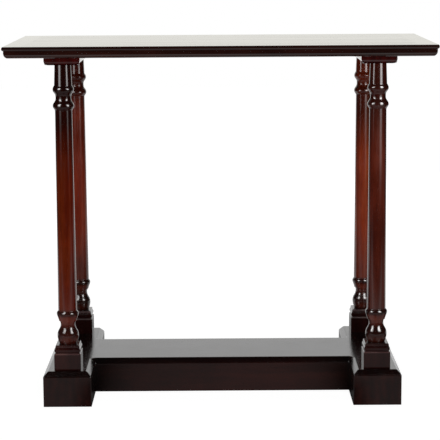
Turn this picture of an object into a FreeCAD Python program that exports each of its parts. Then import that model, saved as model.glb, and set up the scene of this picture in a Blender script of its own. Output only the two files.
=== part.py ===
# Pier table: a moulded top on two bearers, four turned columns on square moulded plinths,
# and an H-shaped base of two runners joined by a low hollow platform.
# Millimetres, +Z up, +X to the right, -Y to the front, origin on the floor under the middle.
import FreeCAD, Part
import math
import os

from FreeCAD import Vector

# Whole table
table_height = 762.0
top_width = 900.0
top_depth = 450.0

# How far the parts below the top stand back from its edges
runner_end_overhang = 70.0
runner_set_back = 5.0
bearer_set_back = 27.5
column_set_back = 53.0

# Top: a panel with mitred moulded strips on all four sides
top_thick = 24.0
edging_width = 42.0
lip_height = 8.0
lip_bulge = 1.8
step_in = 3.5
band_height = 5.0
ovolo_in = 9.0
tongue_length = 8.0
tongue_thick = 6.0

# Bearers under the top
bearer_width = 75.0
bearer_height = 15.5
bearer_round = 9.5

# Head of a column, from the bearer down to the shaft
head_height = 43.5
head_top_d = 34.2
head_low_d = 37.4
bead_d = 44.2
bead_high = 8.3
bead_low = 15.2
neck_d = 32.4
neck_height = 3.5
bell_height = 16.0
collar_d = 44.6
collar_height = 7.5
collar_fillet = 1.0

# Shaft of a column
shaft_top_d = 35.6
shaft_foot_d = 40.0

# Foot of a column, from the plinth up to the shaft
ball_foot_d = 36.5
ball_d = 45.4
ball_low = 18.0
ball_high = 24.5
ankle_d = 31.0
ankle_height = 7.0
cup_foot_d = 38.0
cup_step = 1.6
cup_height = 7.9
cup_top_d = 43.4
ring_d = 46.6
ring_height = 12.5

# Tenons of a column
top_tenon_d = 24.0
top_tenon_gap = 1.0
foot_tenon_d = 26.0
foot_tenon_gap = 1.0

# Plinths
plinth_side = 56.5
plinth_block_height = 36.0
plinth_arris = 2.5
quirk_in = 2.9
quirk_height = 1.4
torus_height = 10.4
torus_set_in = 0.9
cap_step = 1.2
cap_height = 4.2
cap_top_in = 4.6

# Base
base_height = 75.0
runner_width = 102.0
base_chamfer = 10.0
base_arris = 2.0
corner_round = 2.5
platform_width = 200.0
platform_wall = 18.0
floor_gap = 1.5

# Blocks inside the platform
block_length = 30.0
block_floor_gap = 10.0
glue_block_leg = 25.0
glue_block_length = 120.0

# Bolts that draw the columns down onto the runners
bolt_d = 8.0
bolt_head_across = 13.0
bolt_head_height = 5.3
column_bolt_length = 90.0
column_washer_d = 22.0
washer_thick = 2.0
counterbore_d = 28.0
counterbore_depth = 25.0
insert_d = 12.0
insert_length = 20.0

# Bolts and dowels that hold the platform to the runners
platform_bolt_length = 72.0
platform_bolt_pitch = 80.0
platform_washer_d = 20.0
dowel_d = 10.0
dowel_length = 50.0
dowel_pitch = 136.0

# Screws that hold the bearers to the top
screw_d = 4.5
screw_head_d = 9.0
screw_head_height = 2.6
screw_length = 30.0
screw_sink = 1.0
screw_pitch = 115.0

# Fits
fit_gap = 0.15
hole_end_gap = 3.0
overrun = 5.0

# Shares that shape the turned curves
ogee_share = 0.5
swell_share = 0.45
quarter_round_share = 1 - math.sqrt(0.5)

# Levels and places that follow from the sizes above
up = Vector(0, 0, 1)
axis_x = Vector(1, 0, 0)
axis_y = Vector(0, 1, 0)
top_under = table_height - top_thick
column_top = top_under - bearer_height
plinth_height = plinth_block_height + quirk_height + torus_height + cap_step + cap_height
plinth_top = base_height + plinth_height
bearer_length = top_depth - 2 * bearer_set_back
runner_length = top_depth - 2 * runner_set_back
runner_outer = top_width / 2 - runner_end_overhang
runner_inner = runner_outer - runner_width
column_x = runner_outer - runner_width / 2
column_y = top_depth / 2 - column_set_back
platform_length = 2 * runner_inner
sides_x = (("left", -1), ("right", 1))
sides_y = (("front", -1), ("back", 1))


def save(name, solids):
    shape = solids[0] if len(solids) == 1 else Part.makeCompound(solids)
    shape.exportStep("parts/" + name + ".step")


def box(low, high):
    size = high.sub(low)
    return Part.makeBox(size.x, size.y, size.z, low)


def rod(diameter, start, length, direction=up):
    return Part.makeCylinder(diameter / 2, length, start, direction)


def polygon(points):
    return Part.Face(Part.makePolygon(points + [points[0]]))


def line(start, end):
    return Part.LineSegment(start, end).toShape()


def arc(start, middle, end):
    return Part.Arc(start, middle, end).toShape()


def bezier(poles):
    curve = Part.BezierCurve()
    curve.setPoles(poles)
    return curve.toShape()


# A curve in the XZ plane that leaves and arrives upright, hollow at one end and full at the other
def ogee(start, end):
    reach = (end.z - start.z) * ogee_share
    return bezier([start, start + up * reach, end - up * reach, end])


# A curve that starts leaning and arrives upright
def lean_to(start, upright):
    reach = (upright.z - start.z) * swell_share
    return bezier([start, upright - up * reach, upright])


# A curve that starts upright and ends leaning
def lean_from(upright, end):
    reach = (end.z - upright.z) * swell_share
    return bezier([upright, upright + up * reach, end])


# Section of the moulded edge: x runs in from the outer edge, z is the height
def edging_section():
    inner = edging_width
    lip_low = table_height - lip_height
    band_low = lip_low - band_height
    ovolo_height = band_low - top_under
    groove_in = edging_width - tongue_length - fit_gap
    groove_mid = table_height - top_thick / 2
    groove_low = groove_mid - tongue_thick / 2 - fit_gap
    groove_high = groove_mid + tongue_thick / 2 + fit_gap
    lip_top = Vector(lip_bulge, 0, table_height)
    lip_foot = Vector(lip_bulge, 0, lip_low)
    band_top = Vector(step_in, 0, lip_low)
    band_foot = Vector(step_in, 0, band_low)
    ovolo_foot = Vector(step_in + ovolo_in, 0, top_under)
    ovolo_middle = Vector(step_in + ovolo_in * quarter_round_share, 0,
                          top_under + ovolo_height * quarter_round_share)
    back = [ovolo_foot, Vector(inner, 0, top_under), Vector(inner, 0, groove_low),
            Vector(groove_in, 0, groove_low), Vector(groove_in, 0, groove_high),
            Vector(inner, 0, groove_high), Vector(inner, 0, table_height), lip_top]
    edges = [arc(lip_top, Vector(0, 0, table_height - lip_height / 2), lip_foot),
             line(lip_foot, band_top), line(band_top, band_foot),
             arc(band_foot, ovolo_middle, ovolo_foot)]
    edges += [line(back[i], back[i + 1]) for i in range(len(back) - 1)]
    return Part.Face(Part.Wire(edges))


# One strip of edging, run along an edge of the given length, with its ends mitred at 45 degrees
def edging_strip(length):
    strip = edging_section().extrude(axis_y * length)
    strip.translate(axis_y * (-length / 2))
    low = top_under - overrun
    half = length / 2
    mitred = polygon([Vector(0, -half, low), Vector(half, 0, low), Vector(0, half, low)])
    return strip.common(mitred.extrude(up * (top_thick + 2 * overrun)))


def edgings():
    sides = (("left", top_depth, top_width, 0), ("front", top_width, top_depth, 90),
             ("right", top_depth, top_width, 180), ("back", top_width, top_depth, 270))
    strips = {}
    for name, length, reach, turn in sides:
        strip = edging_strip(length)
        strip.translate(axis_x * (-reach / 2))
        strip.rotate(Vector(0, 0, 0), up, turn)
        strips["edge_moulding_" + name] = strip
    return strips


# The bearers' fixing screws, each with its countersunk head drawn into the bearer
def screw_places():
    return [Vector(side * column_x, step * screw_pitch, column_top)
            for _, side in sides_x for step in (-1, 0, 1)]


def screw_shape(place, gap):
    head_low = place + up * (screw_sink - gap)
    shank_low = place + up * (screw_sink + screw_head_height)
    head = Part.makeCone(screw_head_d / 2 + gap, screw_d / 2 + gap, screw_head_height + gap, head_low)
    shank = rod(screw_d + 2 * gap, shank_low, screw_length - screw_head_height + gap)
    return head.fuse(shank).removeSplitter()


def screw_hole(place):
    mouth = rod(screw_head_d + 2 * fit_gap, place - up * overrun, overrun + screw_sink)
    return screw_shape(place, fit_gap).fuse(mouth)


def top_panel():
    half = Vector(top_width / 2 - edging_width, top_depth / 2 - edging_width, 0)
    panel = box(Vector(-half.x, -half.y, top_under), Vector(half.x, half.y, table_height))
    tongue_low = table_height - top_thick / 2 - tongue_thick / 2
    reach = Vector(tongue_length, tongue_length, 0)
    tongue = box(half.negative() - reach + up * tongue_low, half + reach + up * (tongue_low + tongue_thick))
    holes = Part.makeCompound([screw_hole(p) for p in screw_places()])
    return panel.fuse(tongue).removeSplitter().cut(holes)


# A bearer with its lower edges rounded, bored for two column tenons
def bearer(side):
    half = Vector(bearer_width / 2, bearer_length / 2, 0)
    centre = axis_x * (side * column_x)
    body = box(centre - half + up * column_top, centre + half + up * top_under)
    lower = [e for e in body.Edges if e.BoundBox.ZMax < column_top + bearer_round]
    body = body.makeFillet(bearer_round, lower)
    holes = [screw_hole(p) for p in screw_places() if p.x * side > 0]
    for _, end in sides_y:
        bottom = Vector(side * column_x, end * column_y, column_top - overrun)
        holes.append(rod(top_tenon_d + 2 * fit_gap, bottom, bearer_height + 2 * overrun))
    return body.cut(Part.makeCompound(holes))


# Half outline of a turned column, from the foot tenon up to the top tenon
def column_outline():
    tenon_low = base_height + foot_tenon_gap
    tenon_high = top_under - top_tenon_gap
    belly_z = plinth_top + ball_low
    ankle_z = belly_z + ball_high
    step_z = ankle_z + ankle_height
    cup_z = step_z + cup_step
    ring_z = cup_z + cup_height
    shaft_low = ring_z + ring_height
    head_z = column_top - head_height
    bead_z = head_z - bead_high
    neck_top = bead_z - bead_low
    neck_low = neck_top - neck_height
    collar_z = neck_low - bell_height
    fillet_z = collar_z - collar_height
    shaft_top = fillet_z - collar_fillet
    seat = Vector(ball_foot_d / 2, 0, plinth_top)
    belly = Vector(ball_d / 2, 0, belly_z)
    ankle = Vector(ankle_d / 2, 0, ankle_z)
    step = Vector(cup_foot_d / 2 - cup_step, 0, step_z)
    cup_foot = Vector(cup_foot_d / 2, 0, step_z)
    cup_low = Vector(cup_foot_d / 2, 0, cup_z)
    cup_top = Vector(cup_top_d / 2, 0, ring_z)
    ring = Vector(ring_d / 2, 0, ring_z + ring_height / 2)
    shaft_foot = Vector(shaft_foot_d / 2, 0, shaft_low)
    shaft_end = Vector(shaft_top_d / 2, 0, shaft_top)
    fillet_low = Vector(shaft_top_d / 2 + collar_fillet, 0, shaft_top)
    fillet_high = Vector(shaft_top_d / 2 + collar_fillet, 0, fillet_z)
    collar = Vector(collar_d / 2, 0, collar_z)
    neck_foot = Vector(neck_d / 2, 0, neck_low)
    neck_head = Vector(neck_d / 2, 0, neck_top)
    bead = Vector(bead_d / 2, 0, bead_z)
    head_foot = Vector(head_low_d / 2, 0, head_z)
    head_top = Vector(head_top_d / 2, 0, column_top)
    foot_tenon = foot_tenon_d / 2
    top_tenon = top_tenon_d / 2
    low_end = [Vector(0, 0, tenon_low), Vector(foot_tenon, 0, tenon_low),
               Vector(foot_tenon, 0, plinth_top), seat]
    high_end = [head_top, Vector(top_tenon, 0, column_top), Vector(top_tenon, 0, tenon_high),
                Vector(0, 0, tenon_high), low_end[0]]
    edges = [line(low_end[i], low_end[i + 1]) for i in range(len(low_end) - 1)]
    edges += [lean_to(seat, belly), ogee(belly, ankle), lean_from(ankle, step), line(step, cup_foot),
              line(cup_foot, cup_low), line(cup_low, cup_top), arc(cup_top, ring, shaft_foot),
              line(shaft_foot, shaft_end), line(shaft_end, fillet_low), line(fillet_low, fillet_high),
              lean_to(fillet_high, collar), ogee(collar, neck_foot), line(neck_foot, neck_head),
              ogee(neck_head, bead), lean_from(bead, head_foot), line(head_foot, head_top)]
    edges += [line(high_end[i], high_end[i + 1]) for i in range(len(high_end) - 1)]
    return Part.Face(Part.Wire(edges))


def column(place):
    turned = column_outline().revolve(Vector(0, 0, 0), up, 360)
    tenon_low = up * (base_height + foot_tenon_gap)
    bolt_tip = counterbore_depth - washer_thick + column_bolt_length
    depth = bolt_tip + hole_end_gap - tenon_low.z
    bore = rod(bolt_d + 2 * fit_gap, tenon_low - up * overrun, depth + overrun)
    seat = rod(insert_d + 2 * fit_gap, tenon_low - up * overrun, insert_length + overrun)
    turned = turned.cut(bore.fuse(seat))
    turned.translate(place)
    return turned


# Moulding of a plinth: half a side out from the middle at each height
def plinth_section():
    half = plinth_side / 2
    torus = half - torus_set_in
    quirk = half - quirk_in
    block_top = base_height + plinth_block_height
    arris_low = block_top - plinth_arris
    torus_low = block_top + quirk_height
    torus_high = torus_low + torus_height
    cap_low = torus_high + cap_step
    arris_in = half - plinth_arris
    cap_in = half - cap_top_in
    round_share = 1 - quarter_round_share

    def mirrored(sign):
        arris_edge = Vector(sign * half, 0, arris_low)
        arris_mid = Vector(sign * (half - plinth_arris * quarter_round_share), 0,
                           block_top - plinth_arris * quarter_round_share)
        arris_end = Vector(sign * arris_in, 0, block_top)
        torus_foot = Vector(sign * quirk, 0, torus_low)
        torus_head = Vector(sign * quirk, 0, torus_high)
        torus_mid = Vector(sign * torus, 0, torus_low + torus_height / 2)
        cap_foot = Vector(sign * quirk, 0, cap_low)
        cap_head = Vector(sign * cap_in, 0, plinth_top)
        cap_mid = Vector(sign * (cap_in + (quirk - cap_in) * round_share), 0,
                         cap_low + cap_height * round_share)
        quirk_low = Vector(sign * quirk, 0, block_top)
        return [line(Vector(sign * half, 0, base_height), arris_edge),
                arc(arris_edge, arris_mid, arris_end), line(arris_end, quirk_low),
                line(quirk_low, torus_foot), arc(torus_foot, torus_mid, torus_head),
                line(torus_head, cap_foot), arc(cap_foot, cap_mid, cap_head)]

    foot = line(Vector(-half, 0, base_height), Vector(half, 0, base_height))
    head = line(Vector(cap_in, 0, plinth_top), Vector(-cap_in, 0, plinth_top))
    return Part.Face(Part.Wire(Part.__sortEdges__([foot] + mirrored(1) + [head] + mirrored(-1))))


# The same moulding run on all four sides meets in mitred corners
def plinth(place):
    run = plinth_section().extrude(axis_y * plinth_side)
    run.translate(axis_y * (-plinth_side / 2))
    across = run.copy()
    across.rotate(Vector(0, 0, 0), up, 90)
    body = run.common(across)
    bore = rod(foot_tenon_d + 2 * fit_gap, up * (base_height - overrun), plinth_height + 2 * overrun)
    body = body.cut(bore)
    body.translate(place)
    return body


# The whole base as one H-shaped block with chamfered top edges and softened arrises.
# The cutter turns the chamfer round in the inner corners, and the walls below stay square
def base_envelope():
    long_y = runner_length / 2
    short_y = platform_width / 2
    outline = [(-runner_outer, -long_y), (-runner_inner, -long_y), (-runner_inner, -short_y),
               (runner_inner, -short_y), (runner_inner, -long_y), (runner_outer, -long_y),
               (runner_outer, long_y), (runner_inner, long_y), (runner_inner, short_y),
               (-runner_inner, short_y), (-runner_inner, long_y), (-runner_outer, long_y)]
    block = polygon([Vector(x, y, 0) for x, y in outline]).extrude(up * base_height)
    inner_corners = [e for e in block.Edges
                     if e.BoundBox.ZLength > base_arris and abs(e.BoundBox.Center.y) < long_y - base_arris]
    routed = block.makeFillet(corner_round, inner_corners)
    top_edges = [e for e in routed.Edges if e.BoundBox.ZMin > base_height - base_arris]
    routed = routed.makeChamfer(base_chamfer, top_edges)
    chamfer_low = base_height - base_chamfer
    level = [e for e in routed.Edges
             if e.BoundBox.ZLength < base_arris and e.BoundBox.ZMin > chamfer_low - base_arris]
    return block.common(routed.makeFillet(base_arris, level))


def platform_bolt_starts(side):
    z = (block_floor_gap + base_height - platform_wall) / 2
    return [Vector(side * (runner_inner - block_length - washer_thick), step * platform_bolt_pitch / 2, z)
            for step in (-1, 1)]


def dowel_starts(side):
    z = (block_floor_gap + base_height - platform_wall) / 2
    return [Vector(side * (runner_inner - dowel_length / 2), step * dowel_pitch / 2, z) for step in (-1, 1)]


# Bores of one side's platform fixings, through the end block and into the runner
def platform_fixing_holes(side):
    out = axis_x * side
    holes = []
    for start in platform_bolt_starts(side):
        holes.append(rod(bolt_d + 2 * fit_gap, start, platform_bolt_length + hole_end_gap, out))
    for start in dowel_starts(side):
        holes.append(rod(dowel_d + 2 * fit_gap, start - out * fit_gap, dowel_length + 2 * fit_gap, out))
    return holes


def runner(envelope, side):
    low = Vector(runner_inner, -runner_length / 2 - overrun, -overrun)
    high = Vector(runner_outer + overrun, runner_length / 2 + overrun, base_height + overrun)
    region = box(low, high)
    if side < 0:
        region.rotate(Vector(0, 0, 0), up, 180)
    body = envelope.common(region)
    holes = platform_fixing_holes(side)
    for _, end in sides_y:
        bottom = Vector(side * column_x, end * column_y, -overrun)
        holes.append(rod(bolt_d + 2 * fit_gap, bottom, base_height + 2 * overrun))
        holes.append(rod(counterbore_d, bottom, counterbore_depth + overrun))
    return body.cut(Part.makeCompound(holes))


# The platform's board and aprons meet in mitres along its long edges
def platform_panels(envelope):
    half = platform_width / 2
    inner = half - platform_wall
    under = base_height - platform_wall
    board_section = [Vector(-runner_inner, -half - overrun, base_height + overrun),
                     Vector(-runner_inner, -inner, under), Vector(-runner_inner, inner, under),
                     Vector(-runner_inner, half + overrun, base_height + overrun)]
    board = envelope.common(polygon(board_section).extrude(axis_x * platform_length))
    panels = {"platform_board": board}
    for name, end in sides_y:
        apron_section = [Vector(-runner_inner, end * (half + overrun), base_height + overrun),
                         Vector(-runner_inner, end * inner, under),
                         Vector(-runner_inner, end * inner, floor_gap),
                         Vector(-runner_inner, end * (half + overrun), floor_gap)]
        apron = envelope.common(polygon(apron_section).extrude(axis_x * platform_length))
        panels["platform_apron_" + name] = apron
    return panels


def platform_block(side):
    inner = platform_width / 2 - platform_wall
    near = side * (runner_inner - block_length)
    far = side * runner_inner
    low = Vector(min(near, far), -inner, block_floor_gap)
    high = Vector(max(near, far), inner, base_height - platform_wall)
    return box(low, high).cut(Part.makeCompound(platform_fixing_holes(side)))


# Two glue blocks stand along each apron, at the quarter points of the room between the end blocks
def glue_blocks():
    inner = platform_width / 2 - platform_wall
    under = base_height - platform_wall
    quarter = (runner_inner - block_length) / 2
    blocks = []
    for _, end in sides_y:
        for _, side in sides_x:
            start = side * quarter - glue_block_length / 2
            corner = [Vector(start, end * inner, under),
                      Vector(start, end * (inner - glue_block_leg), under),
                      Vector(start, end * inner, under - glue_block_leg)]
            blocks.append(polygon(corner).extrude(axis_x * glue_block_length))
    return blocks


# A hexagon-headed bolt that points along +Z, with the underside of its head at the origin
def hex_bolt(length):
    corner = bolt_head_across / 2 / math.cos(math.pi / 6)
    turns = [i * math.pi / 3 for i in range(6)]
    points = [Vector(corner * math.cos(a), corner * math.sin(a), -bolt_head_height) for a in turns]
    head = polygon(points).extrude(up * bolt_head_height)
    return head.fuse(rod(bolt_d, Vector(0, 0, 0), length)).removeSplitter()


def washer(diameter):
    disc = rod(diameter, Vector(0, 0, 0), washer_thick)
    return disc.cut(rod(bolt_d + 2 * fit_gap, up * -overrun, washer_thick + 2 * overrun))


def placed(shape, place, direction):
    moved = shape.copy()
    moved.Placement = FreeCAD.Placement(place, FreeCAD.Rotation(up, direction))
    return moved


def column_fixings(places):
    under_head = up * (counterbore_depth - washer_thick)
    tenon_low = up * (base_height + foot_tenon_gap)
    bore = rod(bolt_d + 2 * fit_gap, up * -overrun, insert_length + 2 * overrun)
    insert = rod(insert_d, Vector(0, 0, 0), insert_length).cut(bore)
    save("column_bolts", [placed(hex_bolt(column_bolt_length), p + under_head, up) for p in places])
    save("column_washers", [placed(washer(column_washer_d), p + under_head, up) for p in places])
    save("column_inserts", [placed(insert, p + tenon_low, up) for p in places])


def platform_fixings():
    bolts = []
    washers = []
    dowels = []
    for _, side in sides_x:
        out = axis_x * side
        for start in platform_bolt_starts(side):
            bolts.append(placed(hex_bolt(platform_bolt_length), start, out))
            washers.append(placed(washer(platform_washer_d), start, out))
        dowels += [rod(dowel_d, start, dowel_length, out) for start in dowel_starts(side)]
    save("platform_bolts", bolts)
    save("platform_washers", washers)
    save("platform_dowels", dowels)


def main():
    os.makedirs("parts", exist_ok=True)
    save("top_panel", [top_panel()])
    for name, strip in edgings().items():
        save(name, [strip])
    save("bearer_screws", [screw_shape(p, 0) for p in screw_places()])
    envelope = base_envelope()
    for name, panel in platform_panels(envelope).items():
        save(name, [panel])
    save("platform_glue_blocks", glue_blocks())
    platform_fixings()
    places = []
    for side_name, side in sides_x:
        save("bearer_" + side_name, [bearer(side)])
        save("runner_" + side_name, [runner(envelope, side)])
        save("platform_block_" + side_name, [platform_block(side)])
        for end_name, end in sides_y:
            place = Vector(side * column_x, end * column_y, 0)
            places.append(place)
            save("column_" + end_name + "_" + side_name, [column(place)])
            save("plinth_" + end_name + "_" + side_name, [plinth(place)])
    column_fixings(places)


main()
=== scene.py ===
import math

import bmesh
import bpy
from mathutils import Matrix, Vector
from mathutils.geometry import interpolate_bezier


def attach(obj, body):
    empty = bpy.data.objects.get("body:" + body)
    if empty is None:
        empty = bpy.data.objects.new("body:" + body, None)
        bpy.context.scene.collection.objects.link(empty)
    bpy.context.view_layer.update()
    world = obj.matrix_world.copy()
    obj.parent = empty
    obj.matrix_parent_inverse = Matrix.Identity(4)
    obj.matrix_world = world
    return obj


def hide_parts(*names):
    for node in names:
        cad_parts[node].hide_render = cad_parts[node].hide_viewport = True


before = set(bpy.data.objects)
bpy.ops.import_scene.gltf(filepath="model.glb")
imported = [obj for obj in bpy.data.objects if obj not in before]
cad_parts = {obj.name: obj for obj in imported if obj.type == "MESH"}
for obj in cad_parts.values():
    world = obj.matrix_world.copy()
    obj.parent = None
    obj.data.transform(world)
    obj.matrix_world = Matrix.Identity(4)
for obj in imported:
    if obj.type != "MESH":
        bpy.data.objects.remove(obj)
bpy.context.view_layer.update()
mm = 0.001
near = 0.0001      # places closer than this are one
mergeGap = 0.000004      # doubles closer than this are merged
cutGap = 0.0000005      # points closer than this to a cut lie on it
faceDown = -0.999      # a face whose normal is lower than this looks straight down
print("frame loaded, nodes:", len(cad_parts))


# small helpers for shader trees

def addNode(tree, kind, spot, **settings):
    node = tree.nodes.new(kind)
    node.location = spot
    for key, value in settings.items():
        setattr(node, key, value)
    return node


def setInputs(node, **values):
    for key, value in values.items():
        node.inputs[key].default_value = value


def emptyMaterial(name):
    material = bpy.data.materials.new(name)
    material.use_nodes = True
    tree = material.node_tree
    tree.nodes.clear()
    output = addNode(tree, "ShaderNodeOutputMaterial", (900, 0))
    return material, tree, output


def startMaterial(name):
    material, tree, output = emptyMaterial(name)
    shader = addNode(tree, "ShaderNodeBsdfPrincipled", (600, 0))
    tree.links.new(shader.outputs["BSDF"], output.inputs["Surface"])
    return material, tree, shader


def stretched(tree, vector, scale, spot):
    stretch = addNode(tree, "ShaderNodeMapping", spot)
    setInputs(stretch, Scale=scale)
    tree.links.new(vector, stretch.inputs["Vector"])
    return stretch.outputs["Vector"]


def addNoise(tree, vector, spot, **values):
    noise = addNode(tree, "ShaderNodeTexNoise", spot)
    setInputs(noise, **values)
    tree.links.new(vector, noise.inputs["Vector"])
    return noise


# carries a value from one span to another
def spanned(tree, value, spot, source=(0.0, 1.0), target=(0.0, 1.0)):
    span = addNode(tree, "ShaderNodeMapRange", spot)
    setInputs(span, **{"From Min": source[0], "From Max": source[1],
                       "To Min": target[0], "To Max": target[1]})
    tree.links.new(value, span.inputs["Value"])
    return span.outputs["Result"]


# colours for a value between 0 and 1: a list of (value, colour)
def ramped(tree, value, stops, spot):
    ramp = addNode(tree, "ShaderNodeValToRGB", spot)
    elements = ramp.color_ramp.elements
    while len(elements) < len(stops):
        elements.new(0.5)
    for element, (place, colour) in zip(elements, stops):
        element.position = place
        element.color = (*colour, 1.0)
    tree.links.new(value, ramp.inputs["Fac"])
    return ramp.outputs["Color"]


# the same for a value of any size
def rampAlong(tree, value, stops, spot):
    lowest, highest = stops[0][0], stops[-1][0]
    shares = [((place - lowest) / (highest - lowest), colour) for place, colour in stops]
    span = spanned(tree, value, spot, source=(lowest, highest))
    return ramped(tree, span, shares, (spot[0] + 200, spot[1]))


def multiplied(tree, under, over, spot, share=1.0):
    mix = addNode(tree, "ShaderNodeMix", spot, data_type="RGBA", blend_type="MULTIPLY")
    setInputs(mix, Factor=share)
    tree.links.new(under, mix.inputs["A"])
    tree.links.new(over, mix.inputs["B"])
    return mix.outputs["Result"]


def addBump(tree, height, shader, spot, strength, depth):
    bump = addNode(tree, "ShaderNodeBump", spot)
    setInputs(bump, Strength=strength, Distance=depth)
    tree.links.new(height, bump.inputs["Height"])
    tree.links.new(bump.outputs["Normal"], shader.inputs["Normal"])


def scaled(colour, share):
    return tuple(c * share for c in colour)


# polished mahogany: broad figure, ribbon stripe, fine pores and a clear gloss

grainTurn = {
    "x": (0.0, 0.0, 0.0),
    "y": (0.0, 0.0, math.radians(90)),
    "z": (0.0, math.radians(90), 0.0),
}
# what every mahogany has unless its finish says otherwise
mahoganyGrain = {
    "shift": (0.0, 0.0, 0.0), "shading": [], "polish": 0.5,
    "figureScale": (2.2, 26.0, 26.0), "figureStops": (0.30, 0.52, 0.74),
    "ribbon": 18.0, "ribbonLow": 0.72,
    "poreScale": (55.0, 900.0, 900.0), "poreTone": (0.35, 0.32, 0.30), "poreDepth": 0.3,
    "wipe": (14.0, 14.0, 14.0), "skin": 0.012, "skinDepth": 0.0001,
}


def mahogany(name, finish):
    look = {**mahoganyGrain, **finish}
    material, tree, shader = startMaterial(name)
    link = tree.links.new
    coord = addNode(tree, "ShaderNodeTexCoord", (-1500, 0))
    lay = addNode(tree, "ShaderNodeMapping", (-1300, 0))
    setInputs(lay, Rotation=grainTurn[look["grain"]], Location=look["shift"])
    link(coord.outputs["Object"], lay.inputs["Vector"])
    grain = lay.outputs["Vector"]

    # broad figure along the grain
    broad = stretched(tree, grain, look["figureScale"], (-1080, 200))
    figure = addNoise(tree, broad, (-880, 200), Scale=1.0, Detail=5.0, Roughness=0.58, Distortion=0.8)
    tones = list(zip(look["figureStops"], (look["deep"], look["mid"], look["warm"])))
    tone = ramped(tree, figure.outputs["Fac"], tones, (-660, 200))

    # ribbon stripe across the grain
    ribbon = addNode(tree, "ShaderNodeTexWave", (-880, -60), bands_direction="Y")
    setInputs(ribbon, **{"Scale": look["ribbon"], "Distortion": 5.0, "Detail": 3.0,
                         "Detail Scale": 0.6, "Detail Roughness": 0.55})
    link(grain, ribbon.inputs["Vector"])
    stripe = spanned(tree, ribbon.outputs["Fac"], (-660, -60), target=(look["ribbonLow"], 1.0))
    striped = multiplied(tree, tone, stripe, (-380, 160))

    # pores: short dark flecks that run with the grain
    fine = stretched(tree, grain, look["poreScale"], (-1080, -300))
    pores = addNoise(tree, fine, (-880, -300), Scale=1.0, Detail=2.0, Roughness=0.5)
    flecks = [(0.36, look["poreTone"]), (0.50, (1.0, 1.0, 1.0))]
    fleck = ramped(tree, pores.outputs["Fac"], flecks, (-660, -300))
    stained = multiplied(tree, striped, fleck, (-160, 120), share=look["poreDepth"])

    # shading by height or out to the ends, in metres: painted shade and painted highlight lines laid into the
    # colour, on the turned posts together with stain
    for row, (way, stops) in enumerate(look["shading"]):
        high = 460 + 300 * row
        parts = addNode(tree, "ShaderNodeSeparateXYZ", (-860, high))
        link(coord.outputs["Object"], parts.inputs["Vector"])
        place = parts.outputs["Z"]
        if way == "aside":
            aside = addNode(tree, "ShaderNodeMath", (-660, high), operation="ABSOLUTE")
            link(parts.outputs["X"], aside.inputs[0])
            place = aside.outputs["Value"]
        shade = rampAlong(tree, place, stops, (-460, high))
        stained = multiplied(tree, stained, shade, (60, high))
    link(stained, shader.inputs["Base Color"])

    # gloss that is a little uneven, and a skin that sinks slightly over the pores
    wiped = stretched(tree, grain, look["wipe"], (-600, -500))
    smear = addNoise(tree, wiped, (-380, -200), Scale=1.0, Detail=4.0, Roughness=0.6)
    gloss = spanned(tree, smear.outputs["Fac"], (-160, -200), source=(0.3, 0.7), target=look["gloss"])
    link(gloss, shader.inputs["Roughness"])
    addBump(tree, fleck, shader, (300, -300), strength=look["skin"], depth=look["skinDepth"])
    setInputs(shader, **{"IOR": 1.5, "Specular IOR Level": look["polish"]})
    return material


# plain inner timber, with growth rings
def plainTimber(name, look):
    material, tree, shader = startMaterial(name)
    link = tree.links.new
    coord = addNode(tree, "ShaderNodeTexCoord", (-1300, 0))
    lay = addNode(tree, "ShaderNodeMapping", (-1100, 0))
    setInputs(lay, Rotation=grainTurn[look["grain"]], Scale=(1.0, 9.0, 9.0))
    link(coord.outputs["Object"], lay.inputs["Vector"])
    rings = addNode(tree, "ShaderNodeTexWave", (-860, 80), bands_direction="Y")
    setInputs(rings, **{"Scale": look["rings"], "Distortion": 3.0, "Detail": 3.0, "Detail Scale": 1.2})
    link(lay.outputs["Vector"], rings.inputs["Vector"])
    tones = [(0.10, look["pale"]), (0.75, look["mid"]), (1.0, look["late"])]
    tone = ramped(tree, rings.outputs["Fac"], tones, (-600, 80))
    fibre = addNoise(tree, lay.outputs["Vector"], (-860, -200), Scale=60.0, Detail=4.0, Roughness=0.6)
    mixed = multiplied(tree, tone, fibre.outputs["Color"], (-300, 60), share=0.35)
    link(mixed, shader.inputs["Base Color"])
    rough = spanned(tree, fibre.outputs["Fac"], (-300, -200), target=(0.55, 0.8))
    link(rough, shader.inputs["Roughness"])
    addBump(tree, fibre.outputs["Fac"], shader, (200, -260), strength=0.2, depth=0.0004)
    return material


# plated or drawn metal with a cloudy surface
def dullMetal(name, look):
    material, tree, shader = startMaterial(name)
    link = tree.links.new
    coord = addNode(tree, "ShaderNodeTexCoord", (-1100, 0))
    cloud = addNoise(tree, coord.outputs["Object"], (-860, 0),
                     Scale=look["cloud"], Detail=5.0, Roughness=0.65)
    tones = [(0.30, look["dull"]), (0.65, look["bright"])]
    link(ramped(tree, cloud.outputs["Fac"], tones, (-600, 120)), shader.inputs["Base Color"])
    rough = spanned(tree, cloud.outputs["Fac"], (-600, -160), target=(0.25, 0.5))
    link(rough, shader.inputs["Roughness"])
    addBump(tree, cloud.outputs["Fac"], shader, (0, -260), strength=0.1, depth=0.0001)
    setInputs(shader, Metallic=1.0)
    return material


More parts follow.
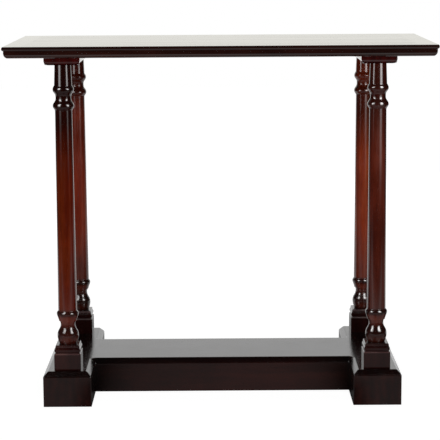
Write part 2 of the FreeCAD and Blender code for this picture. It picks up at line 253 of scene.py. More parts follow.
darkFinish = {"deep": (0.0070, 0.0012, 0.0010), "mid": (0.0120, 0.0022, 0.0018),
              "warm": (0.0200, 0.0038, 0.0028), "gloss": (0.055, 0.10)}
baseFinish = dict(darkFinish, deep=(0.0058, 0.0011, 0.0008), mid=(0.0100, 0.0018, 0.0012),
                  warm=(0.0158, 0.0029, 0.0018), gloss=(0.13, 0.20))
topFinish = dict(darkFinish, deep=(0.0090, 0.0018, 0.0012), mid=(0.0158, 0.0034, 0.0022),
                 warm=(0.0254, 0.0058, 0.0036), polish=0.8)
turnedFinish = {"deep": (0.058, 0.0030, 0.0003), "mid": (0.092, 0.0075, 0.0007),
                "warm": (0.140, 0.0200, 0.0030), "grain": "z", "skin": 0.0}
bearerFinish = {"deep": (0.018, 0.0012, 0.0010), "mid": (0.030, 0.0021, 0.0017),
                "warm": (0.045, 0.0034, 0.0026), "gloss": (0.06, 0.11), "grain": "y"}
softwoodTones = {"rings": 3.0, "pale": (0.52, 0.36, 0.19), "mid": (0.44, 0.27, 0.12),
                 "late": (0.30, 0.15, 0.06)}

topAlongX = mahogany("topMahoganyAlongX", dict(topFinish, grain="x"))
topAlongY = mahogany("topMahoganyAlongY", dict(topFinish, grain="y", shift=(0.3, 0.1, 0.0)))
# the panel was wiped lengthways, so its gloss lies in streaks
panelWood = mahogany("topPanelMahogany", dict(topFinish, grain="x", shift=(0.0, 0.4, 0.0), ribbon=9.0,
                                              figureScale=(1.4, 12.0, 12.0), wipe=(1.2, 30.0, 30.0),
                                              gloss=(0.05, 0.155)))
# painted shade: the base is darker along its upward-facing chamfers, and the platform darker towards its ends
# where the runners shade the corners
chamferShade = ("up", [(0.0, (1.0, 1.0, 1.0)), (0.062, (1.0, 1.0, 1.0)), (0.066, (0.45, 0.4, 0.4)),
                      (0.075, (0.45, 0.4, 0.4))])
# painted shade at the platform's ends, where the runners shade the corners, with a slightly redder middle
endShade = ("aside", [(0.0, (1.15, 1.0, 1.0)), (0.16, (1.1, 1.0, 1.0)), (0.21, (0.9, 0.9, 0.9)),
                     (0.245, (0.55, 0.6, 0.6)), (0.278, (0.2, 0.25, 0.25))])
runnerWood = mahogany("runnerMahogany", dict(baseFinish, grain="y", shading=[chamferShade]))
platformWood = mahogany("platformMahogany", dict(baseFinish, grain="x", shading=[chamferShade, endShade]))
softwood = plainTimber("innerSoftwood", dict(softwoodTones, grain="y"))
softwoodAlongX = plainTimber("innerSoftwoodAlongX", dict(softwoodTones, grain="x"))
beech = plainTimber("dowelBeech", {"grain": "x", "rings": 8.0, "pale": (0.55, 0.38, 0.24),
                                   "mid": (0.50, 0.32, 0.19), "late": (0.42, 0.25, 0.14)})
zinc = dullMetal("zincSteel", {"cloud": 320.0, "dull": (0.42, 0.43, 0.44), "bright": (0.68, 0.69, 0.70)})
brass = dullMetal("insertBrass", {"cloud": 260.0, "dull": (0.50, 0.34, 0.12), "bright": (0.72, 0.53, 0.22)})
print("shared finishes made")


# helpers for meshes

def cleanMesh(bm):
    bmesh.ops.remove_doubles(bm, verts=bm.verts, dist=mergeGap)
    bmesh.ops.recalc_face_normals(bm, faces=bm.faces)


def makePiece(name, bm, material, nodes, crease=38):
    mesh = bpy.data.meshes.new(name)
    bm.to_mesh(mesh)
    bm.free()
    mesh.materials.append(material)
    mesh.shade_smooth()
    mesh.set_sharp_from_angle(angle=math.radians(crease))
    piece = bpy.data.objects.new(name, mesh)
    bpy.context.scene.collection.objects.link(piece)
    keepFlats = piece.modifiers.new("keepFlats", "WEIGHTED_NORMAL")
    keepFlats.keep_sharp = True
    keepFlats.weight = 80
    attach(piece, "root")
    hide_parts(*nodes)
    return piece


def strand(bm, points):
    verts = [bm.verts.new(p) for p in points]
    edges = [bm.edges.new(pair) for pair in zip(verts, verts[1:])]
    return verts, edges


def pickVerts(geom):
    return [g for g in geom if isinstance(g, bmesh.types.BMVert)]


def pickEdges(geom):
    return [g for g in geom if isinstance(g, bmesh.types.BMEdge) and g.is_valid]


# a ring of edges, flat, about a place in mm
def drawCircle(bm, place, radius, steps):
    verts = bmesh.ops.create_circle(bm, cap_ends=False, radius=radius * mm, segments=steps,
                                    matrix=Matrix.Translation(Vector(place) * mm))["verts"]
    return list(dict.fromkeys(e for v in verts for e in v.link_edges))


# carries a ring of edges inwards through a list of (radius, level), then closes it
def deepen(bm, ring, rings):
    for radius, level in rings:
        risen = bmesh.ops.extrude_edge_only(bm, edges=ring)["geom"]
        verts = pickVerts(risen)
        ring = [e for e in pickEdges(risen) if all(v in verts for v in e.verts)]
        middle = sum((v.co for v in verts), Vector()) / len(verts)
        share = radius * mm / (verts[0].co - middle).xy.length
        bmesh.ops.scale(bm, vec=(share, share, 1.0), space=Matrix.Translation(-middle), verts=verts)
        bmesh.ops.translate(bm, vec=(0.0, 0.0, level * mm - middle.z), verts=verts)
    bmesh.ops.holes_fill(bm, edges=ring, sides=0)


# bores holes up into the flat underside at the level of the places
def boreSole(bm, places, radius, steps, rings):
    level = places[0][2] * mm
    sole = [f for f in bm.faces if f.normal.z < faceDown and abs(f.calc_center_median().z - level) < near]
    rim = [e for f in sole for e in f.edges]
    bmesh.ops.delete(bm, geom=sole, context="FACES_ONLY")
    holes = [drawCircle(bm, place, radius, steps) for place in places]
    edges = rim + [e for ring in holes for e in ring]
    bmesh.ops.triangle_fill(bm, use_beauty=True, use_dissolve=False, edges=edges)
    for ring in holes:
        deepen(bm, ring, rings)


# how far along a curve its handles reach
ogeeShare = 0.5
swellShare = 0.45
roundShare = 0.55
bendShare = 2 / 3      # makes one bend into the two handles of the same curve


# a profile is a list of (out, up, run): how the line runs from the point before to this one
def profilePoints(profile, steps):
    points = []
    for out, up, run in profile:
        end = Vector((out, 0.0, up)) * mm
        if not points or run == "line":
            points.append(end)
            continue
        start = points[-1]
        rise = Vector((0.0, 0.0, end.z - start.z))
        reach = Vector((end.x - start.x, 0.0, 0.0))
        if run == "ogee":      # upright at both ends
            handles = (start + rise * ogeeShare, end - rise * ogeeShare)
        elif run == "swellTo":      # arrives upright
            bend = end - rise * swellShare
            handles = (start.lerp(bend, bendShare), end.lerp(bend, bendShare))
        elif run == "swellFrom":      # leaves upright
            bend = start + rise * swellShare
            handles = (start.lerp(bend, bendShare), end.lerp(bend, bendShare))
        elif run == "roundIn":      # quarter round that leaves upright and ends level
            handles = (start + rise * roundShare, end - reach * roundShare)
        elif run == "roundOut":      # quarter round that leaves level and ends upright
            handles = (start + reach * roundShare, end - rise * roundShare)
        points += interpolate_bezier(start, handles[0], handles[1], end, steps + 1)[1:]
    return points


sideNames = {-1: "left", 1: "right"}
endNames = {-1: "front", 1: "back"}
columnX = 329.0
columnY = 172.0


# the names of a piece at a corner of the table, and of the node that it stands for
def cornerNames(word, side, end):
    pieceName = word + endNames[end].capitalize() + sideNames[side].capitalize()
    return pieceName, "_".join((word, endNames[end], sideNames[side]))


# turned columns

# each turned post is a stick of its own: how warm and how polished it is, and how strong its colour is on its
# foot and head and at each level of the shaft. The shaft levels are partly stain and partly painted shade,
# darker towards the head where less light comes up from the floor; the higher polish of the right-hand posts
# is painted light, standing in for brighter light falling on them
columnTones = {
    ("front", "left"): {"gain": 0.86, "tint": (1.0, 1.0, 1.2), "foot": 1.0, "head": 0.5,
                        "shift": (0.0, 0.0, 0.0), "polish": 0.5,
                        "shaft": [(0.480, 1.0), (0.525, 0.75), (0.575, 0.38), (0.605, 0.17), (0.640, 0.17)]},
    ("front", "right"): {"gain": 0.98, "tint": (1.0, 1.7, 7.5), "foot": 0.55, "head": 1.2,
                         "shift": (0.7, 0.0, 0.2), "polish": 0.65,
                         "shaft": [(0.225, 0.50), (0.300, 0.68), (0.360, 0.57), (0.430, 0.78), (0.475, 0.68),
                                   (0.530, 0.86), (0.615, 0.42), (0.640, 0.30)]},
    ("back", "left"): {"gain": 1.44, "tint": (1.0, 1.25, 3.2), "foot": 0.35, "head": 1.2,
                       "shift": (0.2, 0.5, 0.0), "polish": 0.5,
                       "shaft": [(0.224, 0.50), (0.311, 1.05), (0.435, 1.25), (0.535, 0.74), (0.580, 0.95),
                                 (0.615, 0.55), (0.640, 0.25)]},
    ("back", "right"): {"gain": 2.12, "tint": (1.0, 1.2, 0.4), "foot": 0.40, "head": 2.2,
                        "shift": (0.4, 0.1, 0.6), "polish": 0.7,
                        "shaft": [(0.224, 0.62), (0.315, 1.00), (0.485, 0.95), (0.542, 0.54), (0.600, 0.27),
                                  (0.640, 0.27)]},
}
# the back posts are a little duller
columnGloss = {"front": (0.10, 0.15), "back": (0.16, 0.24)}
# the foot and the head are darker than the shaft: partly a thicker stain, partly painted shade on the
# upward-facing ball and ring, with the downward-facing cup and lower ball painted lighter as if lit from the
# floor
footStainAndShade = [(0.128, 0.35), (0.138, 0.65), (0.147, 0.30), (0.160, 0.25), (0.170, 0.80), (0.179, 1.20),
             (0.187, 1.00), (0.191, 0.30), (0.198, 0.30)]
footTint = (1.0, 2.2, 12.0)
shaftFoot = 0.204
headStainAndShade = [(0.670, 0.25), (0.721, 0.32)]


def turnedWood(end, side):
    tone = columnTones[end, side]
    look = dict(turnedFinish, shift=tone["shift"], gloss=columnGloss[end], polish=tone["polish"])
    for key in ("deep", "mid", "warm"):
        look[key] = scaled(turnedFinish[key], tone["gain"])
    shaft = [(shaftFoot, tone["shaft"][0][1])] + tone["shaft"]
    stainAndShade = [(z, scaled(footTint, share * tone["foot"])) for z, share in footStainAndShade]
    stainAndShade += [(z, scaled(tone["tint"], share)) for z, share in shaft]
    stainAndShade += [(z, scaled(tone["tint"], share * tone["head"])) for z, share in headStainAndShade]
    look["shading"] = [("up", stainAndShade)]
    return mahogany("turnedMahogany" + end.capitalize() + side.capitalize(), look)


columnTurning = {
    "segments": 112,
    "curveSteps": 9,
    "softCorner": 0.35,
    "sharpTurn": 40.0,
    "profile": [
        (0.0, 116.0, "line"), (4.15, 116.0, "line"), (4.15, 96.0, "line"), (6.15, 96.0, "line"),
        (6.15, 76.0, "line"), (13.0, 76.0, "line"), (13.0, 128.2, "line"), (18.25, 128.2, "line"),
        (22.7, 146.2, "swellTo"), (15.5, 170.7, "ogee"), (17.4, 177.7, "swellFrom"),
        (19.0, 177.7, "line"), (19.0, 179.3, "line"), (21.7, 187.2, "line"),
        (23.3, 193.4, "swellTo"), (20.0, 199.7, "swellFrom"),
        (17.8, 627.5, "line"), (18.8, 627.5, "line"), (18.8, 628.5, "line"),
        (22.3, 636.0, "swellTo"), (16.2, 652.0, "ogee"), (16.2, 655.5, "line"),
        (22.1, 670.7, "ogee"), (18.7, 679.0, "swellFrom"),
        (17.1, 722.5, "line"), (12.0, 722.5, "line"), (12.0, 737.0, "line"), (0.0, 737.0, "line"),
    ],
}


def turnColumn(side, end):
    bm = bmesh.new()
    c = columnTurning
    verts = strand(bm, profilePoints(c["profile"], c["curveSteps"]))[0]
    sharpTurns = [v for v in verts[1:-1] if v.calc_edge_angle(0.0) > math.radians(c["sharpTurn"])]
    bmesh.ops.bevel(bm, geom=sharpTurns, affect="VERTICES", offset=c["softCorner"] * mm, segments=2,
                    profile=0.5, material=-1, clamp_overlap=True)
    bmesh.ops.spin(bm, geom=bm.verts[:] + bm.edges[:], cent=(0, 0, 0), axis=(0, 0, 1), angle=2 * math.pi,
                   steps=c["segments"], use_merge=True)
    cleanMesh(bm)
    bmesh.ops.translate(bm, verts=bm.verts, vec=Vector((side * columnX, end * columnY, 0.0)) * mm)
    wood = turnedWood(endNames[end], sideNames[side])
    pieceName, nodeName = cornerNames("column", side, end)
    return makePiece(pieceName, bm, wood, [nodeName])


# square plinths with a moulded head

plinthBlock = {
    "curveSteps": 8,
    "cornerSoft": 0.9,
    "boreRadius": 13.15,
    "boreSteps": 32,
    # an edge that is taller and further out than this is a corner of the block
    "cornerTall": 30.0,
    "cornerOut": 30.0,
    "profile": [
        (28.25, 75.0, "line"), (28.25, 108.5, "line"), (25.75, 111.0, "roundIn"), (25.35, 111.0, "line"),
        (25.35, 112.4, "line"), (27.35, 117.6, "swellTo"), (25.35, 122.8, "swellFrom"),
        (25.35, 124.0, "line"), (23.65, 128.2, "roundIn"),
    ],
}


# painted highlights: lighter, greyer lines along the shoulder and the cap, stronger on the back plinths
plinthFinish = dict(darkFinish, grain="z", gloss=(0.10, 0.16))
highlightLevels = [(0.075, "plain"), (0.1075, "plain"), (0.1088, "shoulder"), (0.1110, "shoulder"),
                (0.1114, "plain"), (0.1236, "plain"), (0.1246, "cap"), (0.1280, "cap"), (0.1284, "plain")]
highlightTones = {
    "front": {"plain": (1.0, 1.0, 1.0), "shoulder": (4.2, 11.0, 13.0), "cap": (1.8, 4.0, 4.5)},
    "back": {"plain": (1.0, 1.0, 1.0), "shoulder": (5.6, 22.0, 27.0), "cap": (5.0, 18.0, 22.0)},
}


def plinthWood(end):
    highlights = [(level, highlightTones[end][part]) for level, part in highlightLevels]
    return mahogany("plinthMahogany" + end.capitalize(), dict(plinthFinish, shading=[("up", highlights)]))


def mouldPlinth(side, end, wood):
    p = plinthBlock
    bm = bmesh.new()
    points = profilePoints(p["profile"], p["curveSteps"])
    corner = Matrix.Rotation(math.radians(45), 4, "Z") @ Matrix.Diagonal((math.sqrt(2), 1.0, 1.0, 1.0))
    verts, edges = strand(bm, [corner @ point for point in points])
    bmesh.ops.spin(bm, geom=verts + edges, cent=(0, 0, 0), axis=(0, 0, 1), angle=2 * math.pi, steps=4,
                   use_merge=True)
    bmesh.ops.remove_doubles(bm, verts=bm.verts, dist=mergeGap)
    rims = [e for e in bm.edges if e.is_boundary]
    rings = []
    for level in (p["profile"][0][1], p["profile"][-1][1]):
        square = [e for e in rims if abs(e.verts[0].co.z - level * mm) < near]
        ring = drawCircle(bm, (0.0, 0.0, level), p["boreRadius"], p["boreSteps"])
        bmesh.ops.triangle_fill(bm, use_beauty=True, use_dissolve=False, edges=square + ring)
        rings.append(ring)
    bmesh.ops.bridge_loops(bm, edges=rings[0] + rings[1])
    uprights = [e for e in bm.edges if abs(e.verts[0].co.z - e.verts[1].co.z) > p["cornerTall"] * mm
                and e.verts[0].co.xy.length > p["cornerOut"] * mm]
    bmesh.ops.bevel(bm, geom=uprights, affect="EDGES", offset=p["cornerSoft"] * mm, segments=3, profile=0.5,
                    material=-1)
    cleanMesh(bm)
    bmesh.ops.translate(bm, verts=bm.verts, vec=Vector((side * columnX, end * columnY, 0.0)) * mm)
    pieceName, nodeName = cornerNames("plinth", side, end)
    return makePiece(pieceName, bm, wood, [nodeName])


for end in (-1, 1):
    wood = plinthWood(endNames[end])
    for side in (-1, 1):
        turnColumn(side, end)
        mouldPlinth(side, end, wood)
print("columns and plinths made")


# base: an H-shaped block with chamfered top edges, cut into runners and platform

baseBlock = {
    "height": 75.0, "outer": 380.0, "inner": 278.0, "runnerHalf": 220.0, "platformHalf": 100.0,
    "chamfer": 10.0, "cornerRound": 2.5, "cornerSteps": 6, "cornerReach": 2.75, "squareDrop": 1.0,
    "arris": 2.0, "arrisSteps": 4, "arrisTurn": 20.0, "wall": 18.0, "floorGap": 1.5, "jointGap": 0.01,
    "boltRadius": 14.0, "boltDepth": 25.0, "boltSteps": 48, "shankRadius": 4.15, "shankDepth": 60.0,
}


def shapeBase():
    b = baseBlock
    bm = bmesh.new()
    quarter = [(b["inner"], -b["platformHalf"]), (b["inner"], -b["runnerHalf"]),
               (b["outer"], -b["runnerHalf"])]
    right = quarter + [(x, -y) for x, y in reversed(quarter)]
    outline = right + [(-x, y) for x, y in reversed(right)]
    foot = bm.faces.new([bm.verts.new((x * mm, y * mm, 0.0)) for x, y in outline])
    risen = bmesh.ops.extrude_face_region(bm, geom=[foot])["geom"]
    bmesh.ops.translate(bm, verts=pickVerts(risen), vec=(0.0, 0.0, b["height"] * mm))
    bmesh.ops.recalc_face_normals(bm, faces=bm.faces)
    inCorners = [e for e in bm.edges if abs(e.verts[0].co.z - e.verts[1].co.z) > near
                 and abs(e.verts[0].co.y) < b["runnerHalf"] * mm - near]
    bmesh.ops.bevel(bm, geom=inCorners, affect="EDGES", offset=b["cornerRound"] * mm, offset_type="OFFSET",
                    segments=b["cornerSteps"], profile=0.5, material=-1)
    topLine = b["height"] * mm - near
    topEdges = [e for e in bm.edges if all(v.co.z > topLine for v in e.verts)]
    bmesh.ops.bevel(bm, geom=topEdges, affect="EDGES", offset=b["chamfer"] * mm, offset_type="OFFSET",
                    segments=1, profile=0.5, material=-1)
    arrises = [e for e in bm.edges if e.calc_face_angle(0.0) > math.radians(b["arrisTurn"])
               and max(v.co.z for v in e.verts) > near]
    bmesh.ops.bevel(bm, geom=arrises, affect="EDGES", offset=b["arris"] * mm, offset_type="OFFSET",
                    segments=b["arrisSteps"], profile=0.5, material=-1)
    # below the chamfer the walls meet square: what is near the corner moves onto it
    square = (b["height"] - b["chamfer"] - b["arris"] - b["squareDrop"]) * mm
    bmesh.ops.bisect_plane(bm, geom=bm.verts[:] + bm.edges[:] + bm.faces[:], plane_co=(0.0, 0.0, square),
                           plane_no=(0.0, 0.0, 1.0))
    corner = Vector((b["inner"], b["platformHalf"])) * mm
    for v in bm.verts:
        across = Vector((abs(v.co.x), abs(v.co.y)))
        if v.co.z < square + near and (across - corner).length < b["cornerReach"] * mm:
            v.co.xy = (math.copysign(corner.x, v.co.x), math.copysign(corner.y, v.co.y))
    cleanMesh(bm)
    return bm


def cutAway(bm, point, normal):
    cut = bmesh.ops.bisect_plane(bm, geom=bm.verts[:] + bm.edges[:] + bm.faces[:], dist=cutGap,
                                 plane_co=Vector(point) * mm, plane_no=normal, clear_outer=True)["geom_cut"]
    bmesh.ops.holes_fill(bm, edges=pickEdges(cut), sides=0)


wholeBase = shapeBase()
joint = baseBlock["inner"] - baseBlock["jointGap"]


def makeRunner(side):
    b = baseBlock
    bm = wholeBase.copy()
    cutAway(bm, (side * joint, 0.0, 0.0), (-side, 0.0, 0.0))
    cleanMesh(bm)
    places = [(side * columnX, end * columnY, 0.0) for end in (-1, 1)]
    boreSole(bm, places, b["boltRadius"], b["boltSteps"],
             [(b["boltRadius"], b["boltDepth"]), (b["shankRadius"], b["boltDepth"]),
              (b["shankRadius"], b["shankDepth"])])
    cleanMesh(bm)
    name = sideNames[side]
    return makePiece("runner" + name.capitalize(), bm, runnerWood, ["runner_" + name])


def makePlatform():
    b = baseBlock
    inner = b["platformHalf"] - b["wall"]
    under = b["height"] - b["wall"]
    middle = wholeBase.copy()
    for side in (-1, 1):
        cutAway(middle, (side * joint, 0.0, 0.0), (side, 0.0, 0.0))
    cleanMesh(middle)
    board = middle.copy()
    cutAway(board, (0.0, 0.0, under), (0.0, 0.0, -1.0))
    for end in (-1, 1):
        cutAway(board, (0.0, end * inner, under), (0.0, end, -1.0))
    cleanMesh(board)
    makePiece("platformBoard", board, platformWood, ["platform_board"])
    for end in (-1, 1):
        apron = middle.copy()
        cutAway(apron, (0.0, end * inner, under), (0.0, -end, 0.0))
        cutAway(apron, (0.0, end * inner, under), (0.0, -end, 1.0))
        cutAway(apron, (0.0, 0.0, b["floorGap"]), (0.0, 0.0, -1.0))
        cleanMesh(apron)
        name = endNames[end]
        makePiece("platformApron" + name.capitalize(), apron, platformWood,
                  ["platform_apron_" + name])
    middle.free()


for side in (-1, 1):
    makeRunner(side)
makePlatform()
wholeBase.free()
print("base made")


# top: four moulded strips, mitred round a panel

topEdging = {
    "halfWidth": 450.0, "halfDepth": 225.0, "curveSteps": 8, "seam": 0.35,
    "profile": [
        (1.8, 754.0, "line"), (0.0, 758.0, "swellTo"), (1.8, 762.0, "swellFrom"),
    ],
    "under": [
        (12.5, 738.0, "line"), (3.5, 749.0, "roundOut"), (3.5, 754.0, "line"),
    ],
    "inside": [
        (42.0, 762.0), (42.0, 753.15), (33.85, 753.15), (33.85, 746.85), (42.0, 746.85), (42.0, 738.0),
    ],
}


def makeEdging(name, turn, halfLength, halfReach, material):
    t = topEdging
    points = profilePoints(t["under"], t["curveSteps"]) + profilePoints(t["profile"], t["curveSteps"])
    points += [Vector((x, 0.0, z)) * mm for x, z in t["inside"]]
    bm = bmesh.new()
    # each point of the section stands as far in from the end as it is in from the edge
    section = bm.faces.new([bm.verts.new((p.x - halfReach * mm, p.x - halfLength * mm, p.z)) for p in points])
    run = bmesh.ops.extrude_face_region(bm, geom=[section])["geom"]
    bmesh.ops.scale(bm, vec=(1.0, -1.0, 1.0), verts=pickVerts(run))
    cleanMesh(bm)
    seamIn, seamLevel = t["inside"][0]
    seams = [e for e in bm.edges if all(v.co.z > seamLevel * mm - near for v in e.verts)
             and all(abs(v.co.x + (halfReach - seamIn) * mm) < near for v in e.verts)]
    bmesh.ops.bevel(bm, geom=seams, affect="EDGES", offset=t["seam"] * mm, segments=2, profile=0.5,
                    material=-1)
    bmesh.ops.rotate(bm, verts=bm.verts, cent=(0, 0, 0), matrix=Matrix.Rotation(math.radians(turn), 3, "Z"))
    cleanMesh(bm)
    return makePiece("edgeMoulding" + name.capitalize(), bm, material,
                     ["edge_moulding_" + name])


makeEdging("left", 0, topEdging["halfDepth"], topEdging["halfWidth"], topAlongY)
makeEdging("front", 90, topEdging["halfWidth"], topEdging["halfDepth"], topAlongX)
makeEdging("right", 180, topEdging["halfDepth"], topEdging["halfWidth"], topAlongY)
makeEdging("back", 270, topEdging["halfWidth"], topEdging["halfDepth"], topAlongX)


# bearers with rounded lower edges

bearerBar = {
    "width": 75.0, "length": 395.0, "low": 722.5, "high": 738.0, "round": 9.5, "roundSteps": 8, "soft": 0.8,
    "screwPitch": 115.0, "holeRadius": 4.65, "holeDepth": 1.0, "holeSteps": 40,
    # the right bearer's higher polish is painted light: its brighter reflections stand in for more light
    # falling on the right
    "sinkRadius": 2.4, "sinkDepth": 2.6, "polish": {"left": 0.5, "right": 0.8},
}


def makeBearer(side):
    b = bearerBar
    bm = bmesh.new()
    size = Vector((b["width"], b["length"], b["high"] - b["low"])) * mm
    middle = Vector((side * columnX, 0.0, (b["high"] + b["low"]) / 2)) * mm
    bmesh.ops.create_cube(bm, size=1.0)
    bmesh.ops.scale(bm, vec=size, verts=bm.verts)
    bmesh.ops.translate(bm, vec=middle, verts=bm.verts)
    uprights = [e for e in bm.edges if abs(e.verts[0].co.z - e.verts[1].co.z) > near]
    bmesh.ops.bevel(bm, geom=uprights, affect="EDGES", offset=b["soft"] * mm, segments=2, profile=0.5,
                    material=-1)
    lower = [e for e in bm.edges if all(abs(v.co.z - b["low"] * mm) < near for v in e.verts)]
    bmesh.ops.bevel(bm, geom=lower, affect="EDGES", offset=b["round"] * mm, segments=b["roundSteps"],
                    profile=0.5, material=-1)
    cleanMesh(bm)
    sunk = b["low"] + b["holeDepth"]
    places = [(side * columnX, step * b["screwPitch"], b["low"]) for step in (-1, 0, 1)]
    boreSole(bm, places, b["holeRadius"], b["holeSteps"],
             [(b["holeRadius"], sunk), (b["sinkRadius"], sunk + b["sinkDepth"])])
    cleanMesh(bm)
    name = sideNames[side]
    wood = mahogany("bearerMahogany" + name.capitalize(), dict(bearerFinish, polish=b["polish"][name]))
    return makePiece("bearer" + name.capitalize(), bm, wood, ["bearer_" + name])


for side in (-1, 1):
    makeBearer(side)
print("top and bearers made")


# nodes whose own shape is right keep it and take a finish

keptFinishes = {
    "top_panel": panelWood, "platform_block_left": softwood, "platform_block_right": softwood,
    "platform_glue_blocks": softwoodAlongX, "platform_dowels": beech, "platform_bolts": zinc,
    "platform_washers": zinc, "column_bolts": zinc, "column_washers": zinc, "column_inserts": brass,
    "bearer_screws": zinc,
}
for nodeName, finish in keptFinishes.items():
    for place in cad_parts[nodeName].material_slots:
        place.material = finish
print("kept nodes finished:", len(keptFinishes))


# floor, backdrop and light

farLevels = [(0.88, 0.0), (1.00, 4.0), (1.15, 7.5), (2.65, 7.5), (2.95, 0.0)]
studio = {
    # brightness of the floor by its distance from the middle: seen, and as light on the wood
    "floorSize": 16.0, "floorShare": 0.2,
    "floorGlow": [(1.0, 0.94), (2.2, 1.0)], "bounce": [(1.2, 0.85), (3.2, 0.1)],
    # the room: as light on the wood, as the polish shows it and as the camera sees it
    "ambient": 0.05, "room": 0.02, "white": 1.0,
    # the backdrop turns a little warm between two heights
    "backdropSpot": 1.6, "backdropHalf": 0.9, "backdropHigh": 2.2, "backdropGlow": 1.01,
    "backdropTint": [(0.5, (1.0, 1.0, 1.0)), (0.8, (1.0, 0.99, 0.93))],
    # the floor as the polish shows it, with painted shadow under the table and a painted band of light in
    # front: place towards the back, brightness
    "sweep": [(-1.6, 0.02), (-1.3, 0.1), (-1.15, 0.25), (-1.0, 0.65), (-0.80, 0.6), (-0.70, 0.24),
              (-0.12, 0.24), (-0.09, 0.03), (0.2, 0.05), (0.4, 0.9), (0.8, 1.0)],
    # it darkens far out to the sides: place aside, brightness
    "sideFade": [(1.2, 1.0), (2.4, 0.05)],
    # it lies in shade between the runners: place aside, brightness
    "shade": [(0.0, 1.0), (0.16, 0.92), (0.21, 0.75), (0.25, 0.42), (0.275, 0.12), (0.295, 0.2),
              (0.33, 1.0)],
    "shadeReach": [(-0.48, 0.0), (-0.40, 1.0), (-0.05, 1.0)],
    # soft boxes: height and brightness, and how they fade to both sides
    "boxFade": [(0.0, 0.0), (0.3, 1.0), (0.7, 1.0), (1.0, 0.0)],
    "boxes": [
        {"name": "boxFarLeft", "spot": (-2.0, -1.75), "width": 1.6, "levels": farLevels},
        {"name": "boxFarRight", "spot": (1.9, -2.0), "width": 1.6, "levels": farLevels},
        {"name": "boxLeft", "spot": (-0.75, -0.64), "width": 0.38,
         "levels": [(0.40, 0.0), (0.49, 0.3), (0.55, 0.65), (0.62, 2.0), (0.70, 7.0), (0.80, 9.0),
                    (1.00, 13.0), (1.30, 12.0), (1.45, 0.0)]},
        {"name": "boxRight", "spot": (0.85, -0.90), "width": 0.62,
         "levels": [(0.30, 0.0), (0.38, 0.4), (0.43, 1.2), (0.49, 1.4), (0.58, 2.2), (0.66, 6.0), (0.75, 9.0),
                    (1.00, 13.0), (1.30, 12.0), (1.45, 0.0)]},
    ],
    # a dark flag just above the front edge keeps the soft boxes off the top
    "flag": {"name": "boxFlag", "spot": (0.0, -0.30), "width": 2.4, "low": 0.775, "high": 1.45, "glow": 0.03},
    # lamps that the polish doesn't show, turned to a point above the floor
    "fillAim": (0.0, 0.0, 0.4),
    "fills": [
        {"name": "fillFront", "spot": (0.0, -3.0, 0.8), "size": 1.6, "power": 78.0},
        {"name": "fillBack", "spot": (0.0, 3.0, 1.5), "size": 2.4, "power": 45.0},
        {"name": "fillAbove", "spot": (0.0, 0.0, 3.2), "size": 2.4, "power": 10.0},
    ],
}


# a sheet of the studio; only one marked as a lamp is sampled as a light
def stageMesh(name, bm, lamp=False):
    mesh = bpy.data.meshes.new(name)
    bm.to_mesh(mesh)
    bm.free()
    thing = bpy.data.objects.new(name, mesh)
    bpy.context.scene.collection.objects.link(thing)
    material, tree, output = emptyMaterial(name)
    mesh.materials.append(material)
    if not lamp:
        material.cycles.emission_sampling = "NONE"
    return thing, tree, output


# only the polish shows these
def showInPolishOnly(thing):
    thing.visible_camera = False
    thing.visible_diffuse = False
    thing.visible_shadow = False
    thing.visible_volume_scatter = False


def mixedShader(tree, share, under, over, spot):
    mix = addNode(tree, "ShaderNodeMixShader", spot)
    tree.links.new(share, mix.inputs["Fac"])
    tree.links.new(under, mix.inputs[1])
    tree.links.new(over, mix.inputs[2])
    return mix.outputs["Shader"]


# three looks of one thing: as light on the wood, as the polish shows it and as the camera sees it
def lookByRay(tree, output, light, shown, seen):
    path = addNode(tree, "ShaderNodeLightPath", (-900, 400))
    mirror = addNode(tree, "ShaderNodeMath", (-700, 400), operation="MAXIMUM")
    tree.links.new(path.outputs["Is Glossy Ray"], mirror.inputs[0])
    tree.links.new(path.outputs["Is Transmission Ray"], mirror.inputs[1])
    unseen = mixedShader(tree, mirror.outputs["Value"], light, shown, (300, -100))
    whole = mixedShader(tree, path.outputs["Is Camera Ray"], unseen, seen, (600, 0))
    tree.links.new(whole, output.inputs["Surface"])


def levelRamp(tree, value, levels, spot):
    return rampAlong(tree, value, [(place, (level,) * 3) for place, level in levels], spot)


